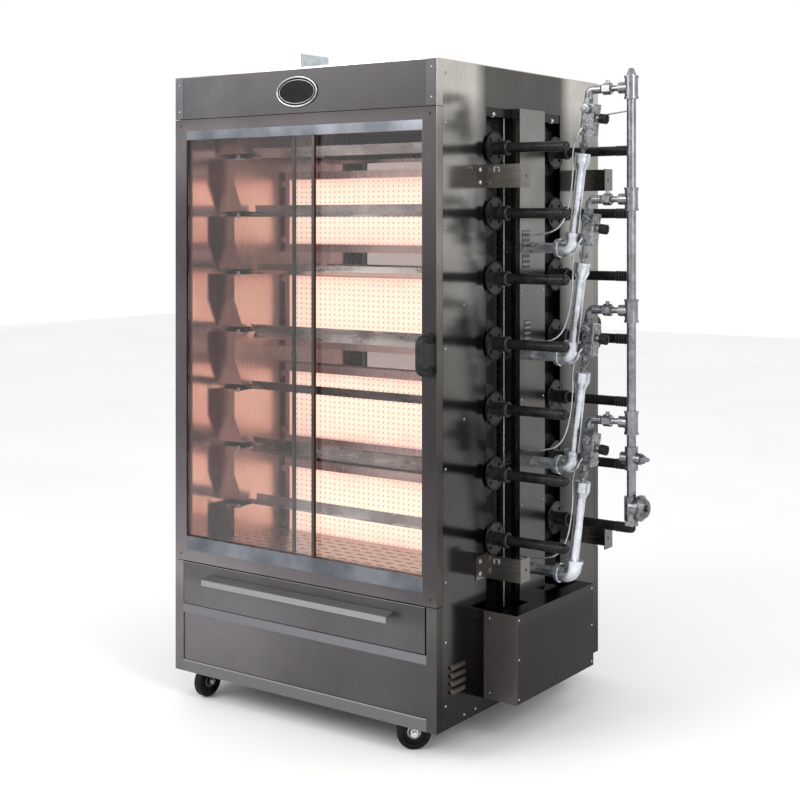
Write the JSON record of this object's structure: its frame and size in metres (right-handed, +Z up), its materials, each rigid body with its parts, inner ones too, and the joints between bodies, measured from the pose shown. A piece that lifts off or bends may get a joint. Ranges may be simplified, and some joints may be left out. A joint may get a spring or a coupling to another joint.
{
  "type": "commercial gas rotisserie oven",
  "caption": "Floor-standing double-sided gas rotisserie oven with glazed doors, chain-driven spits, infrared burners, side gas pipes and casters.",
  "frame": {"origin": "centre of the bounding box at the floor", "axes": "+Z up; -Y out of the front door; +X out of the side with the spit grips and gas pipes"},
  "size_m": [1.448, 1.08, 2.085],
  "materials": {
    "stainless": "brushed stainless sheet",
    "side_stainless": "bright brushed stainless sheet",
    "frame_steel": "welded steel, primed",
    "inner_stainless": "stainless oven lining",
    "galvanised": "galvanised steel",
    "door_frame": "folded stainless door with bright rails",
    "glass": "clear toughened glass",
    "black_handle": "black heat-proof plastic",
    "tile": "glowing perforated ceramic",
    "burner_steel": "stainless burner case",
    "spit_steel": "stainless blade, black grip",
    "chain_steel": "oiled steel",
    "motor": "painted gear motor",
    "bronze": "plain bronze",
    "pipe": "galvanised gas pipe and fittings",
    "valve": "die-cast valve body",
    "badge": "black oval with a silver rim",
    "caster_steel": "zinc-plated steel",
    "wheel": "black rubber on a grey hub"
  },
  "bodies": {
    "root": {"base_frame": "frame_steel", "left_side_panel": "side_stainless", "right_side_panel": "side_stainless", "roof_box": "stainless", "flue_collar": "galvanised", "header_panels": "stainless", "badge": "badge", "front_lower_fascia": "stainless", "rear_lower_fascia": "stainless", "left_rack": "inner_stainless", "right_wall": "inner_stainless", "spindle_bearings": "bronze", "drip_floor": "inner_stainless", "burner_housings": "burner_steel", "burner_tiles": "tile", "drive_chains": "chain_steel", "drive_motors": "motor", "drive_box": "side_stainless", "centre_duct": "side_stainless", "cover_brackets": "stainless", "burner_inlets": "pipe", "gas_valves": "valve", "gas_manifold": "pipe", "gas_regulator": "valve", "caster_mounts": "caster_steel"},
    "front_door": {"front_door_frame": "door_frame", "front_door_handle": "black_handle"},
    "front_left_pane": {"front_left_pane": "glass"},
    "front_right_pane": {"front_right_pane": "glass"},
    "rear_door": {"rear_door_frame": "door_frame", "rear_door_handle": "black_handle"},
    "rear_left_pane": {"rear_left_pane": "glass"},
    "rear_right_pane": {"rear_right_pane": "glass"},
    "drawer": {"drip_drawer": "stainless"},
    "front_drive_sprocket": {"front_drive_sprocket": "chain_steel"},
    "front_spit_1": {"front_spit_1": "spit_steel"},
    "front_spit_2": {"front_spit_2": "spit_steel"},
    "front_spit_3": {"front_spit_3": "spit_steel"},
    "front_spit_4": {"front_spit_4": "spit_steel"},
    "front_spit_5": {"front_spit_5": "spit_steel"},
    "front_spit_6": {"front_spit_6": "spit_steel"},
    "front_spit_7": {"front_spit_7": "spit_steel"},
    "rear_drive_sprocket": {"rear_drive_sprocket": "chain_steel"},
    "rear_spit_1": {"rear_spit_1": "spit_steel"},
    "rear_spit_2": {"rear_spit_2": "spit_steel"},
    "rear_spit_3": {"rear_spit_3": "spit_steel"},
    "rear_spit_4": {"rear_spit_4": "spit_steel"},
    "rear_spit_5": {"rear_spit_5": "spit_steel"},
    "rear_spit_6": {"rear_spit_6": "spit_steel"},
    "rear_spit_7": {"rear_spit_7": "spit_steel"},
    "valve_knob_1": {"valve_knob_1": "black_handle"},
    "valve_knob_2": {"valve_knob_2": "black_handle"},
    "valve_knob_3": {"valve_knob_3": "black_handle"},
    "valve_knob_4": {"valve_knob_4": "black_handle"},
    "front_left_fork": {"front_left_fork": "caster_steel"},
    "front_left_wheel": {"front_left_wheel": "wheel"},
    "front_right_fork": {"front_right_fork": "caster_steel"},
    "front_right_wheel": {"front_right_wheel": "wheel"},
    "rear_left_wheel": {"rear_left_wheel": "wheel"},
    "rear_right_wheel": {"rear_right_wheel": "wheel"}
  },
  "joints": [
    {"name": "front_door_swing", "type": "hinge", "parent": "root", "child": "front_door", "pos_m": [-0.717, -0.45, 1.14], "axis": [0, 0, -1], "range_deg": [0, 120]},
    {"name": "front_left_pane_slide", "type": "slide", "parent": "front_door", "child": "front_left_pane", "axis": [1, 0, 0], "range_m": [0, 0.38]},
    {"name": "front_right_pane_slide", "type": "slide", "parent": "front_door", "child": "front_right_pane", "axis": [-1, 0, 0], "range_m": [0, 0.4]},
    {"name": "rear_door_swing", "type": "hinge", "parent": "root", "child": "rear_door", "pos_m": [-0.717, 0.45, 1.14], "axis": [0, 0, 1], "range_deg": [0, 120]},
    {"name": "rear_left_pane_slide", "type": "slide", "parent": "rear_door", "child": "rear_left_pane", "axis": [1, 0, 0], "range_m": [0, 0.38]},
    {"name": "rear_right_pane_slide", "type": "slide", "parent": "rear_door", "child": "rear_right_pane", "axis": [-1, 0, 0], "range_m": [0, 0.4]},
    {"name": "drawer_slide", "type": "slide", "parent": "root", "child": "drawer", "axis": [0, -1, 0], "range_m": [0, 0.45]},
    {"name": "front_drive_turn", "type": "hinge", "parent": "root", "child": "front_drive_sprocket", "pos_m": [0.276, -0.182, 0.24], "axis": [1, 0, 0], "continuous": true},
    {"name": "front_spit_1_turn", "type": "hinge", "parent": "root", "child": "front_spit_1", "pos_m": [0.276, -0.182, 1.737], "axis": [1, 0, 0], "continuous": true},
    {"name": "front_spit_2_turn", "type": "hinge", "parent": "root", "child": "front_spit_2", "pos_m": [0.276, -0.182, 1.544], "axis": [1, 0, 0], "continuous": true},
    {"name": "front_spit_3_turn", "type": "hinge", "parent": "root", "child": "front_spit_3", "pos_m": [0.276, -0.182, 1.351], "axis": [1, 0, 0], "continuous": true},
    {"name": "front_spit_4_turn", "type": "hinge", "parent": "root", "child": "front_spit_4", "pos_m": [0.276, -0.182, 1.158], "axis": [1, 0, 0], "continuous": true},
    {"name": "front_spit_5_turn", "type": "hinge", "parent": "root", "child": "front_spit_5", "pos_m": [0.276, -0.182, 0.965], "axis": [1, 0, 0], "continuous": true},
    {"name": "front_spit_6_turn", "type": "hinge", "parent": "root", "child": "front_spit_6", "pos_m": [0.276, -0.182, 0.772], "axis": [1, 0, 0], "continuous": true},
    {"name": "front_spit_7_turn", "type": "hinge", "parent": "root", "child": "front_spit_7", "pos_m": [0.276, -0.182, 0.579], "axis": [1, 0, 0], "continuous": true},
    {"name": "rear_drive_turn", "type": "hinge", "parent": "root", "child": "rear_drive_sprocket", "pos_m": [0.276, 0.182, 0.24], "axis": [1, 0, 0], "continuous": true},
    {"name": "rear_spit_1_turn", "type": "hinge", "parent": "root", "child": "rear_spit_1", "pos_m": [0.276, 0.182, 1.737], "axis": [1, 0, 0], "continuous": true},
    {"name": "rear_spit_2_turn", "type": "hinge", "parent": "root", "child": "rear_spit_2", "pos_m": [0.276, 0.182, 1.544], "axis": [1, 0, 0], "continuous": true},
    {"name": "rear_spit_3_turn", "type": "hinge", "parent": "root", "child": "rear_spit_3", "pos_m": [0.276, 0.182, 1.351], "axis": [1, 0, 0], "continuous": true},
    {"name": "rear_spit_4_turn", "type": "hinge", "parent": "root", "child": "rear_spit_4", "pos_m": [0.276, 0.182, 1.158], "axis": [1, 0, 0], "continuous": true},
    {"name": "rear_spit_5_turn", "type": "hinge", "parent": "root", "child": "rear_spit_5", "pos_m": [0.276, 0.182, 0.965], "axis": [1, 0, 0], "continuous": true},
    {"name": "rear_spit_6_turn", "type": "hinge", "parent": "root", "child": "rear_spit_6", "pos_m": [0.276, 0.182, 0.772], "axis": [1, 0, 0], "continuous": true},
    {"name": "rear_spit_7_turn", "type": "hinge", "parent": "root", "child": "rear_spit_7", "pos_m": [0.276, 0.182, 0.579], "axis": [1, 0, 0], "continuous": true},
    {"name": "valve_knob_1_turn", "type": "hinge", "parent": "root", "child": "valve_knob_1", "pos_m": [0.57078, 0, 0.84345], "axis": [0.9919, 0, -0.1271], "range_deg": [0, 90]},
    {"name": "valve_knob_2_turn", "type": "hinge", "parent": "root", "child": "valve_knob_2", "pos_m": [0.57078, 0, 1.17044], "axis": [0.9919, 0, -0.1271], "range_deg": [0, 90]},
    {"name": "valve_knob_3_turn", "type": "hinge", "parent": "root", "child": "valve_knob_3", "pos_m": [0.57078, 0, 1.49744], "axis": [0.9919, 0, -0.1271], "range_deg": [0, 90]},
    {"name": "valve_knob_4_turn", "type": "hinge", "parent": "root", "child": "valve_knob_4", "pos_m": [0.57078, 0, 1.82445], "axis": [0.9919, 0, -0.1271], "range_deg": [0, 90]},
    {"name": "front_left_swivel", "type": "hinge", "parent": "root", "child": "front_left_fork", "pos_m": [-0.615, -0.396, 0.11], "axis": [0, 0, 1], "continuous": true},
    {"name": "front_left_roll", "type": "hinge", "parent": "front_left_fork", "child": "front_left_wheel", "pos_m": [-0.615, -0.431, 0.05], "axis": [-1, 0, 0], "continuous": true},
    {"name": "front_right_swivel", "type": "hinge", "parent": "root", "child": "front_right_fork", "pos_m": [0.211, -0.396, 0.11], "axis": [0, 0, 1], "continuous": true},
    {"name": "front_right_roll", "type": "hinge", "parent": "front_right_fork", "child": "front_right_wheel", "pos_m": [0.18419, -0.4185, 0.05], "axis": [-0.6428, 0.766, 0], "continuous": true},
    {"name": "rear_left_roll", "type": "hinge", "parent": "root", "child": "rear_left_wheel", "pos_m": [-0.615, 0.361, 0.05], "axis": [-1, 0, 0], "continuous": true},
    {"name": "rear_right_roll", "type": "hinge", "parent": "root", "child": "rear_right_wheel", "pos_m": [0.211, 0.361, 0.05], "axis": [-1, 0, 0], "continuous": true}
  ],
  "couplings": [
    {"joint": "front_spit_1_turn", "follows": "front_drive_turn", "ratio": 1},
    {"joint": "front_spit_2_turn", "follows": "front_drive_turn", "ratio": 1},
    {"joint": "front_spit_3_turn", "follows": "front_drive_turn", "ratio": 1},
    {"joint": "front_spit_4_turn", "follows": "front_drive_turn", "ratio": 1},
    {"joint": "front_spit_5_turn", "follows": "front_drive_turn", "ratio": 1},
    {"joint": "front_spit_6_turn", "follows": "front_drive_turn", "ratio": 1},
    {"joint": "front_spit_7_turn", "follows": "front_drive_turn", "ratio": 1},
    {"joint": "rear_spit_1_turn", "follows": "rear_drive_turn", "ratio": 1},
    {"joint": "rear_spit_2_turn", "follows": "rear_drive_turn", "ratio": 1},
    {"joint": "rear_spit_3_turn", "follows": "rear_drive_turn", "ratio": 1},
    {"joint": "rear_spit_4_turn", "follows": "rear_drive_turn", "ratio": 1},
    {"joint": "rear_spit_5_turn", "follows": "rear_drive_turn", "ratio": 1},
    {"joint": "rear_spit_6_turn", "follows": "rear_drive_turn", "ratio": 1},
    {"joint": "rear_spit_7_turn", "follows": "rear_drive_turn", "ratio": 1}
  ]
}
